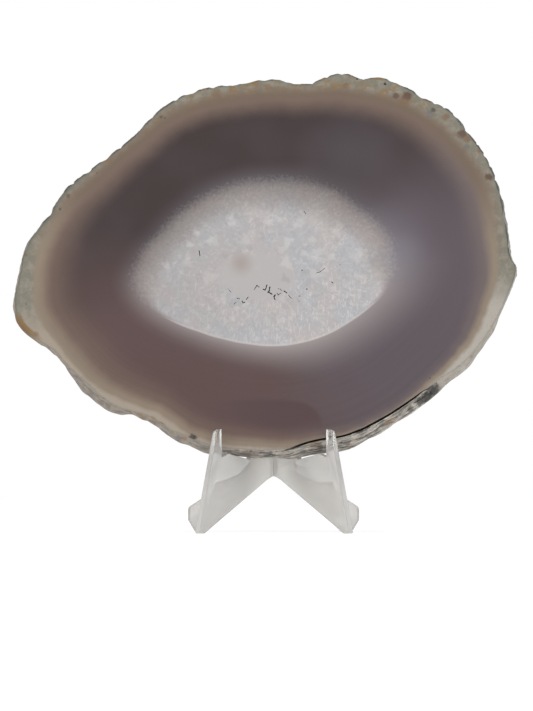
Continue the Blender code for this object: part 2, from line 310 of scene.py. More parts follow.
places = places_of(stone)
front_edges, back_edges = edge_loops(stone)
front_points = points_of_edges(stone, front_edges)
turns, distances = turn_and_distance(places[:, 0], places[:, 2])
order = np.argsort(turns[front_points])
face_edge = (turns[front_points][order], distances[front_points][order])
standing_out = distances - line_at(face_edge, turns)
in_crack = (places[:, 0] > CRACK_FROM) & (places[:, 0] < CRACK_TO) & (places[:, 2] < 25.0)
floor_points = in_crack & (places[:, 1] > CRACK_FLOOR[0]) & (places[:, 1] < CRACK_FLOOR[1])
floor_points &= standing_out < 0.25
lip_points = in_crack & (places[:, 1] > CRACK_LIP[0]) & (places[:, 1] < CRACK_LIP[1])
lip_points &= standing_out >= 0.25
creases = stone.data.attributes.new("crease_edge", "FLOAT", "EDGE")
for edge in stone.data.edges:
    ends = list(edge.vertices)
    if floor_points[ends].all():
        creases.data[edge.index].value = 1.0
    elif lip_points[ends].all():
        creases.data[edge.index].value = 0.8
print("the crack's floor has", int(floor_points.sum()), "points before it is subdivided")

# %% Subdivide the rim
rounding = stone.modifiers.new("rounding", "SUBSURF")
rounding.levels = 2
rounding.render_levels = 2
rounding.boundary_smooth = "ALL"
finish_modifier(stone, rounding)
print("the open rim now has", len(stone.data.vertices), "points")

# %% Roughen the rim
GRAIN_SIZES = (2.2, 0.8)  # millimetres
GRAIN_HEIGHTS = (0.50, 0.26)

places = places_of(stone)
turns, distances = turn_and_distance(places[:, 0], places[:, 2])
standing_out = distances - line_at(face_edge, turns)
front_edges, back_edges = edge_loops(stone)
front_points = points_of_edges(stone, front_edges)
back_points = points_of_edges(stone, back_edges)
rough = np.clip((places[:, 1] - 0.2) / 0.8, 0.0, 1.0) * 0.75 + 0.25
rough *= 1.0 - 0.5 * np.clip((places[:, 1] - 6.0) / 1.0, 0.0, 1.0)
in_crack = (places[:, 0] > CRACK_FROM) & (places[:, 0] < CRACK_TO) & (places[:, 2] < 25.0)
rough[in_crack & (standing_out < 0.35)] *= 0.3
SEATS = (7.0, 17.0)  # from the middle of the easel to where the notches hold the rim
side = np.abs(places[:, 0])
seated = (side > SEATS[0] - 2.0) & (side < SEATS[1] + 2.0) & (places[:, 2] < 12.0)
rough[seated] *= 0.25
smooth_skin = (places[:, 0] < -15.0) | (places[:, 0] > CRACK_TO)
rough[smooth_skin & (places[:, 2] < 45.0)] *= 0.45
group = stone.vertex_groups.new(name="skin")
for point, weight in enumerate(rough):
    group.add([point], float(weight), "REPLACE")
for number, (size, height) in enumerate(zip(GRAIN_SIZES, GRAIN_HEIGHTS)):
    grain = bpy.data.textures.new(f"skin_grain_{number}", "CLOUDS")
    grain.noise_scale = size * MM
    grain.noise_depth = 3
    roughen = stone.modifiers.new(f"roughen_{number}", "DISPLACE")
    roughen.texture = grain
    roughen.texture_coords = "LOCAL"
    roughen.vertex_group = "skin"
    roughen.strength = height * MM
    roughen.mid_level = 0.5
    finish_modifier(stone, roughen)
places = places_of(stone)
places[front_points, 1] = 0.0
places[back_points, 1] = THICKNESS
places[:, 1] = np.clip(places[:, 1], 0.0, THICKNESS)

# %% [markdown]
# The upper edge of the real slice is ragged: a row of small bites, each a few millimetres wide,
# where the saw broke the brittle skin. Noise that is folded at zero makes sharp little notches
# between round bumps. They only go inward, so that the stone stays inside its solid.

# %% Bites in the upper edge
BITE_WIDTH = 5.5
BITE_DEPTH = 1.5
FINE_BITE_WIDTH = 2.2
FINE_BITE_DEPTH = 0.7
BITE_REACH = 3.5  # how far behind the face the bites fade out

turns, distances = turn_and_distance(places[:, 0], places[:, 2])
bites = np.empty(len(places))
for point, (turn, far) in enumerate(zip(turns, distances)):
    place = Vector((far * math.cos(turn), far * math.sin(turn), 0.0))
    wide = abs(noise.noise(place / BITE_WIDTH))
    fine = abs(noise.noise(place / FINE_BITE_WIDTH))
    bites[point] = BITE_DEPTH * max(0.30 - wide, 0.0) / 0.30 + FINE_BITE_DEPTH * (0.4 - fine)
upper = np.clip((np.sin(turns) + 0.12) / 0.3, 0.0, 1.0)
shallow = np.clip(1.0 - places[:, 1] / BITE_REACH, 0.0, 1.0)
bitten = distances - 0.45 * np.maximum(bites, 0.0) * upper * shallow
places[:, 0] = CORE_MIDDLE[0] + bitten * np.cos(turns)
places[:, 2] = CORE_MIDDLE[1] + bitten * np.sin(turns)
set_places(stone, places)
print("the deepest bite is", round(float((distances - bitten).max()), 2), "mm")

# %% [markdown]
# ## The stone: its two sawn faces
# Each open edge is extruded inward, ring after ring, and every ring is moved along the lines that
# meet in the core's middle. The first rings follow the edge closely, one ring lies on the edge of
# the core, and the last ones close over the quartz. Rings are better than one big flat face here,
# because the colours are told by numbers that each point carries.

# %% Close the faces
EDGE_STEPS_FRONT = (0.3, 0.4, 0.6, 0.9, 1.3, 1.8, 2.2)  # millimetres between the first rings
EDGE_STEPS_BACK = (0.5, 1.2, 2.5)
SHARES_FRONT = (0.82, 0.62, 0.42, 0.26, 0.13, 0.05, 0.0)  # of the way from core to last ring
SHARES_BACK = (0.7, 0.4, 0.15, 0.0)
CORE_SHARES_FRONT = (0.97, 0.88, 0.74, 0.58, 0.42, 0.27, 0.13)  # of the core's own radius
CORE_SHARES_BACK = (0.8, 0.5, 0.2)


def move_ring(piece, new_distance):
    """Extrudes the selected ring and sets the new one's distances from the core's middle."""
    edit()
    bpy.ops.mesh.extrude_edges_indiv()
    leave_edit()
    chosen = np.empty(len(piece.data.vertices), bool)
    piece.data.vertices.foreach_get("select", chosen)
    everywhere = places_of(piece)
    turns, distances = turn_and_distance(everywhere[chosen, 0], everywhere[chosen, 2])
    reach = new_distance(turns, distances)
    everywhere[chosen, 0] = CORE_MIDDLE[0] + reach * np.cos(turns)
    everywhere[chosen, 2] = CORE_MIDDLE[1] + reach * np.sin(turns)
    set_places(piece, everywhere)


def close_face(piece, edges, edge_steps, shares, core_shares):
    work_on(piece)
    select_only(piece, points_of_edges(piece, edges), edges)
    edit()
    bpy.ops.mesh.select_mode(type="EDGE")
    leave_edit()
    for step in edge_steps:
        move_ring(piece, lambda turns, distances: distances - step)
    before = 1.0
    for share in shares:
        def towards_core(turns, distances):
            core = line_at(core_line, turns)
            return core + (distances - core) * share / before
        move_ring(piece, towards_core)
        before = share
    for share in core_shares:
        move_ring(piece, lambda turns, distances: share * line_at(core_line, turns))
    edit()
    bpy.ops.mesh.edge_face_add()
    bpy.ops.mesh.poke()
    leave_edit()


close_face(stone, front_edges, EDGE_STEPS_FRONT, SHARES_FRONT, CORE_SHARES_FRONT)
close_face(stone, edge_loops(stone)[1], EDGE_STEPS_BACK, SHARES_BACK, CORE_SHARES_BACK)
edit()
bpy.ops.mesh.select_mode(type="VERT")
bpy.ops.mesh.select_all(action="SELECT")
bpy.ops.mesh.normals_make_consistent(inside=False)
leave_edit()
print("the closed stone has", len(stone.data.polygons), "faces")

# %% [markdown]
# ## The stone: the pits of the core
# Where the last crystals did not quite meet, small crooked pits are left. Each is a short run of
# narrow cones that overlap. A remesh melts them into crooked wedges without inner walls, and one
# Boolean takes them all out of the polished face.

# %% Cut the pits
PITS_SEEN = (  # the corners of a pit in the photograph, and its width in millimetres
    (((228, 289), (231, 292)), 0.24), (((237, 298), (240, 299)), 0.30),
    (((234, 304), (236, 302)), 0.26), (((242, 301), (243, 303), (245, 302)), 0.38),
    (((246, 300), (248, 297)), 0.28), (((254, 290), (256, 287), (257, 285), (259, 287)), 0.30),
    (((263, 289), (265, 290), (266, 288), (267, 285)), 0.44), (((270, 287), (269, 291)), 0.50),
    (((268, 292), (270, 293), (272, 294)), 0.55), (((275, 295), (274, 297), (275, 300)), 0.50),
    (((278, 288), (279, 289)), 0.24), (((280, 289), (282, 291)), 0.26),
    (((277, 293), (278, 295), (281, 293)), 0.26), (((284, 291), (287, 293)), 0.42),
    (((288, 295), (291, 298), (293, 299)), 0.26), (((307, 289), (307, 289)), 0.50),
    (((299, 296), (300, 296)), 0.36), (((299, 301), (299, 301)), 0.40),
    (((199, 250), (200, 256)), 0.32), (((302, 270), (302, 270)), 0.46),
    (((316, 273), (320, 272), (325, 268)), 0.24), (((332, 282), (333, 283)), 0.42),
    (((340, 265), (340, 265)), 0.34), (((304, 211), (306, 214)), 0.26),
    (((292, 232), (292, 232)), 0.36),
)
PIT_STEP = 0.20  # millimetres from one cone of a pit to the next
PIT_DEPTH = 0.8
PIT_GRAIN = 0.09
CROOK = 0.05  # how far a cone may stray from the line between two corners
draw = np.random.default_rng(7)


def add_cone(right, up, width, turn):
    """A cone with its point behind the face and its wide end in front of it."""
    bpy.ops.mesh.primitive_cone_add(
        vertices=6,
        radius1=0.10 * MM * width,
        radius2=MM * width,
        depth=2.0 * PIT_DEPTH * MM,
        location=slice_to_world @ Vector((right, 0.0, up)),
        rotation=(math.pi / 2.0 - SLICE_LEAN, turn, 0.0),
    )
    return bpy.context.object


cones = []
for corners, width in PITS_SEEN:
    for start, end in zip(corners, corners[1:]):
        first = Vector(on_face(*start))
        last = Vector(on_face(*end))
        steps = max(1, round((last - first).length / PIT_STEP))
        for step in range(steps + 1):
            place = first.lerp(last, step / steps) + Vector(draw.uniform(-CROOK, CROOK, 2))
            thick = width * draw.uniform(0.45, 1.0)
            cones.append(add_cone(place.x, place.y, thick, draw.uniform(0.0, 1.0)))
bpy.ops.object.select_all(action="DESELECT")
for cone in cones:
    cone.select_set(True)
bpy.context.view_layer.objects.active = cones[0]
bpy.ops.object.join()
pit_tool = bpy.context.object
melt = pit_tool.modifiers.new("melt", "REMESH")
melt.mode = "VOXEL"
melt.voxel_size = PIT_GRAIN * MM
finish_modifier(pit_tool, melt)
print("the pit tool has", len(pit_tool.data.polygons), "faces")
pit_cut = stone.modifiers.new("pit_cut", "BOOLEAN")
pit_cut.operation = "DIFFERENCE"
pit_cut.object = pit_tool
finish_modifier(stone, pit_cut)
bpy.data.objects.remove(pit_tool)
print("with its pits the stone has", len(stone.data.polygons), "faces")

# %% [markdown]
# ## What each point of the stone knows
# Three attributes carry the pattern: the gaps in millimetres to the face's edge, the cream line
# and the core; the widths over which the layers fade; and the softness at the core's edge. A
# fourth one gives the rim its own map: the way round it, and the depth behind the face.

# %% Write the attributes
places = places_of(stone)
turns, distances = turn_and_distance(places[:, 0], places[:, 2])
cream = line_at(cream_line, turns)
core = line_at(core_line, turns)
edge_gap = line_at(face_edge, turns) - distances
gaps = np.stack([edge_gap, cream - distances, distances - core], 1)
widths = np.stack([by_direction(WARM_WIDTHS, turns), by_direction(FADE_WIDTHS, turns),
                   by_direction(HAZE_WIDTHS, turns)], 1)
RIM_RADIUS = 70.0  # of a circle about as long as the rim
levels = np.stack([by_direction(EDGE_LEVELS, turns), np.cos(turns), np.sin(turns)], 1)
round_rim = np.stack([RIM_RADIUS * np.cos(turns), RIM_RADIUS * np.sin(turns), places[:, 1]], 1)


def write_attribute(piece, name, values):
    attribute = piece.data.attributes.new(name, "FLOAT_VECTOR", "POINT")
    attribute.data.foreach_set("vector", values.ravel())


write_attribute(stone, "gaps", gaps)
write_attribute(stone, "widths", widths)
write_attribute(stone, "levels", levels)
write_attribute(stone, "round_rim", round_rim)
print("the widest part of the rind is", round(float((edge_gap - gaps[:, 1]).max()), 1), "mm")

# %% [markdown]
# ## A short way to write shader nodes
# A material here is a sum of many small decisions: is this the rind, how far into the haze is it.
# A few helpers make one node each and return its output, so that the recipe reads as text.

# %% Node helpers
LIGHT_LEVEL = 1.10  # how bright a white face comes out in the finished picture
GLOSS_VEIL = 0.036  # what the sky's reflection adds on the polished faces


def seen(red, green, blue, veil=GLOSS_VEIL):
    """The colour that a surface needs in order to look so in the photograph, 0 to 255."""
    channels = []
    for value in (red, green, blue):
        share = value / 255.0
        linear = share / 12.92 if share <= 0.04045 else ((share + 0.055) / 1.055) ** 2.4
        channels.append(min(max(linear - veil, 0.004) / LIGHT_LEVEL, 1.0))
    return (*channels, 1.0)


class Recipe:
    """A material under construction."""

    def __init__(self, name):
        self.material = bpy.data.materials.new(name)
        self.material.use_nodes = True
        self.tree = self.material.node_tree
        self.shader = self.tree.nodes["Principled BSDF"]

    def put(self, value, socket):
        if isinstance(value, bpy.types.NodeSocket):
            self.tree.links.new(value, socket)
        else:
            socket.default_value = value

    def node(self, kind, **settings):
        node = self.tree.nodes.new(kind)
        for key, value in settings.items():
            setattr(node, key, value)
        return node

    def attribute(self, name, output="Vector"):
        node = self.node("ShaderNodeAttribute", attribute_name=name)
        return node.outputs[output]

    def parts(self, vector):
        node = self.node("ShaderNodeSeparateXYZ")
        self.put(vector, node.inputs[0])
        return node.outputs[0], node.outputs[1], node.outputs[2]

    def vector(self, x, y, z):
        node = self.node("ShaderNodeCombineXYZ")
        for value, socket in zip((x, y, z), node.inputs):
            self.put(value, socket)
        return node.outputs[0]

    def upright(self):
        """Object coordinates turned into upright millimetres."""
        where = self.node("ShaderNodeTexCoord").outputs["Object"]
        node = self.node("ShaderNodeMapping", vector_type="TEXTURE")
        node.inputs["Location"].default_value = SLICE_FOOT
        node.inputs["Rotation"].default_value = (-SLICE_LEAN, 0.0, 0.0)
        node.inputs["Scale"].default_value = (MM, MM, MM)
        self.put(where, node.inputs["Vector"])
        return node.outputs[0]

    def sum(self, operation, first, second=0.0, third=0.0):
        node = self.node("ShaderNodeMath", operation=operation)
        for value, socket in zip((first, second, third), node.inputs):
            self.put(value, socket)
        return node.outputs[0]

    def vector_sum(self, operation, first, second):
        node = self.node("ShaderNodeVectorMath", operation=operation)
        self.put(first, node.inputs[0])
        self.put(second, node.inputs[1])
        return node.outputs["Value" if operation in ("DISTANCE", "LENGTH", "DOT_PRODUCT")
                            else "Vector"]

    def away(self, where, pixel, across, high):
        """How many radii a place of the face is from a spot that is so far across and high."""
        middle = on_face(*pixel)
        place = self.vector_sum("SUBTRACT", where, (middle[0], 0.0, middle[1]))
        place = self.vector_sum("DIVIDE", place, (across, 1000.0, high))
        return self.vector_sum("LENGTH", place, (0.0, 0.0, 0.0))

    def share(self, value, low, high, start=0.0, end=1.0, smooth=True):
        """0 below low and 1 above high, or the other way where low is above high."""
        kind = "SMOOTHSTEP" if smooth else "LINEAR"
        node = self.node("ShaderNodeMapRange", interpolation_type=kind)
        for number, amount in enumerate((value, low, high, start, end)):
            self.put(amount, node.inputs[number])
        return node.outputs[0]

    def mix(self, share, first, second, blend="MIX"):
        node = self.node("ShaderNodeMix", data_type="RGBA", blend_type=blend)
        self.put(share, node.inputs[0])
        self.put(first, node.inputs[6])
        self.put(second, node.inputs[7])
        return node.outputs[2]

    def noise(self, vector, scale, detail=2.0, roughness=0.5, distortion=0.0, output="Fac"):
        node = self.node("ShaderNodeTexNoise")
        self.put(vector, node.inputs["Vector"])
        node.inputs["Scale"].default_value = scale
        node.inputs["Detail"].default_value = detail
        node.inputs["Roughness"].default_value = roughness
        node.inputs["Distortion"].default_value = distortion
        return node.outputs[output]

    def cells(self, vector, scale, feature="F1", output="Color"):
        node = self.node("ShaderNodeTexVoronoi", feature=feature)
        self.put(vector, node.inputs["Vector"])
        node.inputs["Scale"].default_value = scale
        return node.outputs[output]

    def bump(self, height, distance, strength=1.0, normal=None):
        node = self.node("ShaderNodeBump")
        node.inputs["Strength"].default_value = strength
        node.inputs["Distance"].default_value = distance
        self.put(height, node.inputs["Height"])
        if normal is not None:
            self.put(normal, node.inputs["Normal"])
        return node.outputs["Normal"]

    def set(self, name, value):
        self.put(value, self.shader.inputs[name])


print("white is taken as", seen(255, 255, 255))

# %% [markdown]
# ## The finish of the polished faces
# From outside in: a mottled rind with rusty spots, a pale line, brown to violet chalcedony that
# darkens smoothly, a milky haze, and the quartz core. Polish makes all of it smooth and glossy,
# so the differences are of colour, and only the quartz has a trace of relief.

# %% Chalcedony
DARK_TOP = seen(70, 60, 60)
DARK_BOTTOM = seen(101, 82, 80)
DARK_RIGHT = seen(101, 92, 98)
WARM_BROWN = seen(124, 106, 96)
GREY_BROWN = seen(122, 110, 107)
CREAM = seen(150, 136, 120)
CREAM_TOP = seen(122, 106, 94)
HAZE = seen(142, 138, 145)
HAZE_LOW = seen(158, 149, 149)

agate = Recipe("polished_agate")
upright = agate.upright()
right, behind, up = agate.parts(upright)
edge_gap_out, cream_gap, core_gap = agate.parts(agate.attribute("gaps"))
warm_width, fade_width, haze_width = agate.parts(agate.attribute("widths"))
edge_level, to_right, to_top = agate.parts(agate.attribute("levels"))
drift = agate.noise(upright, 0.05, 1.0)
downward = agate.share(agate.sum("ADD", to_top, agate.sum("MULTIPLY", drift, 0.3)), 0.45, -0.35)
to_lower_right = agate.sum("MULTIPLY_ADD", to_top, -0.35, to_right)
rightward = agate.share(to_lower_right, 0.35, 1.05)
deep = agate.mix(downward, DARK_TOP, DARK_BOTTOM)
deep = agate.mix(rightward, deep, DARK_RIGHT)
cloud = agate.noise(upright, 0.035, 2.0)
deep = agate.mix(agate.share(cloud, 0.40, 0.7, 0.0, 0.16), deep, DARK_RIGHT)

wobble = agate.sum("MULTIPLY", agate.sum("SUBTRACT", agate.noise(upright, 0.22, 3.0), 0.5), 1.6)
into_brown = agate.sum("DIVIDE", agate.sum("ADD", cream_gap, wobble), warm_width)
brown_here = agate.mix(agate.share(to_lower_right, 0.4, 0.9), WARM_BROWN, GREY_BROWN)
brown = agate.mix(agate.share(into_brown, 0.0, 1.0), brown_here, deep)
cream_here = agate.mix(agate.share(to_top, 0.0, 0.45), CREAM, CREAM_TOP)
brown = agate.mix(agate.share(into_brown, -0.02, 0.34), cream_here, brown)
print("chalcedony runs from", [round(c, 3) for c in DARK_TOP[:3]])

# %% [markdown]
# Thin growth layers run parallel to the core. Noise that is squeezed hard along one axis, the
# share of the way from the core to the cream line, draws them without one being drawn by hand.

# %% Growth layers
LAYERS = 34.0
ring_share = agate.sum("DIVIDE", core_gap, agate.sum("ADD", core_gap, cream_gap))
layer_place = agate.vector(agate.sum("MULTIPLY", ring_share, LAYERS),
                           agate.sum("MULTIPLY", to_right, 1.2),
                           agate.sum("MULTIPLY", to_top, 1.2))
layers = agate.noise(layer_place, 1.0, 2.0, 0.6)
layer_strength = agate.share(to_top, 0.3, -0.7, 0.05, 0.20)
layer_light = agate.mix(agate.share(layers, 0.3, 0.7), seen(96, 80, 82), seen(150, 134, 134))
layered = agate.mix(layer_strength, brown, agate.mix(1.0, brown, layer_light, "OVERLAY"))
print("about", int(LAYERS), "layers of noise from core to rind")

# %% [markdown]
# Low in the middle the colour is darker in one lobe, with a rounded right end, and faint wavy
# layers run in it.

# %% The dark lobe
LOBE_MIDDLE = on_face(262, 449)
LOBE_SIZE = (18.5, 1.0, 15.5)
lobe_place = agate.vector_sum("SUBTRACT", upright, (LOBE_MIDDLE[0], 0.0, LOBE_MIDDLE[1]))
lobe_place = agate.vector_sum("DIVIDE", lobe_place, LOBE_SIZE)
lobe_right, lobe_behind, lobe_up = agate.parts(lobe_place)
lobe_shape = agate.sum("ADD",
                       agate.sum("POWER", agate.sum("ABSOLUTE", lobe_right), 4.0),
                       agate.sum("POWER", agate.sum("ABSOLUTE", lobe_up), 4.0))
lobe = agate.share(lobe_shape, 1.15, 0.80)
lobe = agate.sum("MULTIPLY", lobe, agate.share(lobe_right, -1.0, 0.3, 0.1, 1.0))
lobe = agate.sum("MULTIPLY", lobe, agate.share(cream_gap, 1.5, 8.0))
layered = agate.mix(lobe, layered, seen(90, 73, 74))
print("the lobe is", 2 * LOBE_SIZE[0], "mm wide")

# %% Quartz core
QUARTZ_BLUE = seen(177, 177, 180)
QUARTZ_WARM = seen(185, 179, 178)
QUARTZ_LIGHT = seen(212, 208, 206)
QUARTZ_DARK = seen(154, 151, 152)
QUARTZ_LEFT_SHADE = seen(158, 154, 154)
STREAKED = 20.0  # millimetres from the core's edge inward

soft = agate.noise(upright, 0.075, 2.0)
quartz = agate.mix(agate.share(soft, 0.38, 0.62), QUARTZ_BLUE, QUARTZ_WARM)
spoke = agate.vector(agate.sum("MULTIPLY", to_right, 26.0), agate.sum("MULTIPLY", to_top, 26.0),
                     agate.sum("MULTIPLY", core_gap, 0.42))
streaks = agate.noise(spoke, 1.0, 5.0, 0.66, 0.8)
outer_part = agate.share(core_gap, -STREAKED, -12.0, 0.2, 1.0)
light_streaks = agate.sum("MULTIPLY", agate.share(streaks, 0.52, 0.68, 0.0, 0.46), outer_part)
dark_streaks = agate.sum("MULTIPLY", agate.share(streaks, 0.46, 0.30, 0.0, 0.20), outer_part)
quartz = agate.mix(light_streaks, quartz, QUARTZ_LIGHT)
quartz = agate.mix(dark_streaks, quartz, QUARTZ_DARK)
grit = agate.noise(upright, 1.0, 4.0, 0.7)
quartz = agate.mix(agate.share(grit, 0.56, 0.72, 0.0, 0.16), quartz, QUARTZ_LIGHT)
quartz = agate.mix(agate.share(grit, 0.42, 0.28, 0.0, 0.14), quartz, QUARTZ_DARK)
curls = agate.noise(upright, 0.42, 5.0, 0.72, 1.6)
quartz = agate.mix(agate.share(curls, 0.54, 0.61, 0.0, 0.36), quartz, QUARTZ_LIGHT)
quartz = agate.mix(agate.share(curls, 0.44, 0.37, 0.0, 0.28), quartz, QUARTZ_DARK)
flecks = agate.noise(agate.vector_sum("MULTIPLY", upright, (1.6, 1.0, 0.35)), 1.0, 2.0, 0.6, 0.6)
low_half = agate.share(to_top, 0.1, -0.4)
quartz = agate.mix(agate.sum("MULTIPLY", agate.share(flecks, 0.56, 0.66, 0.0, 0.52), low_half),
                   quartz, QUARTZ_LIGHT)
# Painted shade: the core is painted darker towards the left.
quartz = agate.mix(agate.share(right, 2.0, -32.0, 0.0, 0.42, False), quartz, QUARTZ_LEFT_SHADE)
print("the quartz is streaked over its outer", STREAKED, "mm")

# %% [markdown]
# Some crystals were cut so that they show a whole facet, a pale patch with sides that are more or
# less straight. Small cells give many faint ones: noise bends them, and a random number for each
# cell picks the few that shine. The large ones are listed one by one round the smooth middle. Each
# is a triangle, the places that are on the inner side of three lines.

# %% Facets
bend = agate.vector_sum("MULTIPLY", agate.noise(upright, 0.45, 3.0, 0.6, output="Color"),
                        (3.4, 0.0, 3.4))
bent = agate.vector_sum("ADD", upright, bend)
MIDDLE = agate.away(bent, (263, 271), 12.5, 8.2)
chances = agate.parts(agate.cells(bent, 0.45))
edges = agate.cells(bent, 0.45, "DISTANCE_TO_EDGE", "Distance")
facet_band = agate.sum("MULTIPLY", agate.share(edges, 0.0, 0.2), agate.share(core_gap, -4.0, -9.0))
shining = agate.sum("MULTIPLY", agate.share(chances[0], 0.66, 0.95, 0.0, 0.34), facet_band)
shaded = agate.sum("MULTIPLY", agate.share(chances[1], 0.70, 0.95, 0.0, 0.20), facet_band)
quartz = agate.mix(shining, quartz, QUARTZ_LIGHT)
quartz = agate.mix(shaded, quartz, QUARTZ_DARK)
quartz = agate.mix(agate.share(MIDDLE, 1.10, 0.80, 0.0, 0.90), quartz, seen(183, 179, 178))
quartz = agate.mix(agate.share(agate.away(upright, (241, 263), 5.2, 5.6), 1.0, 0.0, 0.0, 0.75),
                   quartz, seen(164, 152, 147))

FACETS_SEEN = (  # pixel, size in millimetres, turns of its three sides in degrees, strength
    ((288, 241), 1.5, (80, 190, 320), 0.42), ((286, 263), 1.8, (20, 150, 250), 0.36),
    ((317, 253), 1.7, (100, 205, 330), 0.34), ((246, 241), 1.6, (40, 170, 275), 0.30),
    ((213, 241), 1.8, (10, 120, 255), 0.26), ((315, 274), 1.7, (60, 200, 290), 0.28),
    ((356, 257), 1.9, (95, 215, 345), 0.26), ((381, 273), 1.5, (30, 140, 270), 0.30),
    ((209, 277), 1.9, (75, 180, 310), 0.24), ((187, 262), 1.6, (15, 155, 250), 0.22),
    ((300, 222), 1.6, (50, 160, 295), 0.26), ((268, 222), 1.4, (110, 225, 350), 0.24),
    ((336, 232), 1.6, (5, 130, 235), 0.28), ((232, 221), 1.5, (65, 185, 300), 0.24),
    ((285, 279), 1.3, (35, 165, 270), -0.36),
)
waver = agate.vector_sum("MULTIPLY", agate.noise(upright, 0.8, 4.0, 0.65, output="Color"),
                         (2.6, 0.0, 2.6))
wavering = agate.vector_sum("ADD", upright, waver)
for pixel, size, sides, strength in FACETS_SEEN:
    middle = on_face(*pixel)
    place = agate.vector_sum("SUBTRACT", wavering, (middle[0] + 1.3, 0.0, middle[1] + 1.3))
    out = 0.0
    for side in sides:
        angle = math.radians(side)
        over = agate.vector_sum("DOT_PRODUCT", place, (math.cos(angle), 0.0, math.sin(angle)))
        out = agate.sum("MAXIMUM", out, over)
    tint = QUARTZ_LIGHT if strength > 0.0 else QUARTZ_DARK
    quartz = agate.mix(agate.share(out, size, 0.5 * size, 0.0, abs(strength)), quartz, tint)
print("large facets:", len(FACETS_SEEN))

# %% [markdown]
# The quartz takes over from the chalcedony by its own share: full inside, a level at the core's
# edge that depends on the direction, and a haze that dies out beyond it. Along the top the fringe
# is broken up by grit, brownish and full of tiny painted glints. Along the bottom it is one pale
# line.

# %% From chalcedony to quartz
FRINGE = seen(145, 135, 128)
GLINT_COLOUR = seen(232, 229, 226)

haze_colour = agate.mix(agate.share(to_top, 0.15, -0.35), HAZE, HAZE_LOW)
outside = agate.share(agate.sum("DIVIDE", core_gap, haze_width), 0.0, 1.0, 1.0, 0.0, False)
outside = agate.sum("POWER", outside, 2.0)
hazy = agate.mix(agate.sum("MULTIPLY", edge_level, outside), layered, haze_colour)
fringe = agate.share(fade_width, 2.0, 9.0)
grit_shift = agate.sum("MULTIPLY", agate.sum("SUBTRACT", grit, 0.5), 9.0)
gap_here = agate.sum("MULTIPLY_ADD", grit_shift, fringe, core_gap)
inside = agate.sum("DIVIDE", agate.sum("MULTIPLY", gap_here, -1.0), fade_width)
inside = agate.mix(fringe, agate.share(inside, 0.0, 1.0),
                   agate.share(inside, 0.0, 1.0, smooth=False))
under_fringe = agate.mix(agate.sum("MULTIPLY", fringe, agate.share(core_gap, 0.0, -6.0, 0.0, 0.3)),
                         hazy, FRINGE)
pattern = agate.mix(inside, under_fringe, quartz)
tan = agate.sum("MULTIPLY", agate.share(core_gap, -1.0, -5.0), agate.share(core_gap, -13.0, -7.0))
pattern = agate.mix(agate.sum("MULTIPLY", agate.sum("MULTIPLY", tan, fringe), 0.22),
                    pattern, seen(150, 138, 129))
pale_line = agate.sum("MULTIPLY", agate.share(core_gap, -1.3, -0.5),
                      agate.share(core_gap, -0.1, -0.5))
pale_line = agate.sum("MULTIPLY", pale_line, agate.share(fade_width, 2.6, 1.3, 0.0, 0.45))
pattern = agate.mix(pale_line, pattern, QUARTZ_LIGHT)
# Painted glints: tiny bright specks of light along the top of the fringe.
glint_specks = agate.share(agate.noise(upright, 2.3, 2.0, 0.5), 0.68, 0.75)
glint_zone = agate.sum("MULTIPLY", agate.share(core_gap, -11.0, -6.0),
                       agate.share(core_gap, 0.5, -1.5))
glint_zone = agate.sum("MULTIPLY", glint_zone, agate.share(to_top, -0.1, 0.4, 0.0, 0.6))
pattern = agate.mix(agate.sum("MULTIPLY", glint_specks, glint_zone), pattern, GLINT_COLOUR)
print("the fringe is up to", max(width for degrees, width in FADE_WIDTHS), "mm wide")

# %% Blue haze at the right
HAZES = (((350, 153), 20.0, 0.16), ((407, 250), 7.5, 0.22), ((405, 215), 14.0, 0.10))
for pixel, radius, strength in HAZES:
    middle_of_haze = on_face(*pixel)
    far = agate.vector_sum("DISTANCE", upright, (middle_of_haze[0], 0.0, middle_of_haze[1]))
    veil = agate.sum("MULTIPLY", agate.share(far, radius, 0.0, 0.0, strength),
                     agate.share(core_gap, -2.0, 1.0))
    pattern = agate.mix(veil, pattern, seen(132, 130, 140))
print("bluish veils:", len(HAZES))

# %% [markdown]
# ## Rind and spots
# The rind is a mixture of clay and silica: grey-green and mottled over the top and the left, and
# nearly white at the lower right and the lower left. Iron stains it in rusty spots.

# %% Rind
RIND_GREEN = seen(130, 127, 115)
RIND_PALE = seen(150, 144, 131)
RIND_INNER = seen(132, 117, 101)
RIND_GREY = seen(106, 107, 102)
RIND_WHITE = seen(177, 171, 162)
RIND_SAND = seen(164, 153, 139)
RIND_OCHRE = seen(140, 116, 86)
RIND_SPECK = seen(102, 84, 72)
RIND_LINE = seen(84, 86, 83)

mottle = agate.noise(upright, 0.35, 4.0, 0.62)
fine_mottle = agate.noise(upright, 1.3, 3.0, 0.6)
rind = agate.mix(agate.share(mottle, 0.40, 0.64), RIND_GREEN, RIND_PALE)
rind = agate.mix(agate.share(fine_mottle, 0.62, 0.76, 0.0, 0.25), rind, RIND_GREY)
rind_inner = agate.sum("MULTIPLY", agate.share(cream_gap, -5.5, -1.0), agate.share(to_top, -0.1, 0.3))
rind = agate.mix(agate.sum("MULTIPLY", rind_inner, agate.share(mottle, 0.3, 0.6, 1.0, 0.6)),
                 rind, RIND_INNER)
near_edge = agate.share(edge_gap_out, 1.6, 0.2)
rind = agate.mix(agate.sum("MULTIPLY", near_edge, agate.share(mottle, 0.3, 0.6, 0.0, 0.45)),
                 rind, RIND_GREY)
left_rim = agate.sum("MULTIPLY", agate.share(to_right, -0.80, -0.95),
                     agate.share(edge_gap_out, 2.0, 0.3, 0.0, 0.75))
left_rim = agate.sum("MULTIPLY", left_rim, agate.share(to_top, 0.02, 0.16))
rind = agate.mix(left_rim, rind, RIND_GREY)
white_rind = agate.mix(agate.share(to_right, -0.4, 0.5), RIND_SAND, RIND_WHITE)
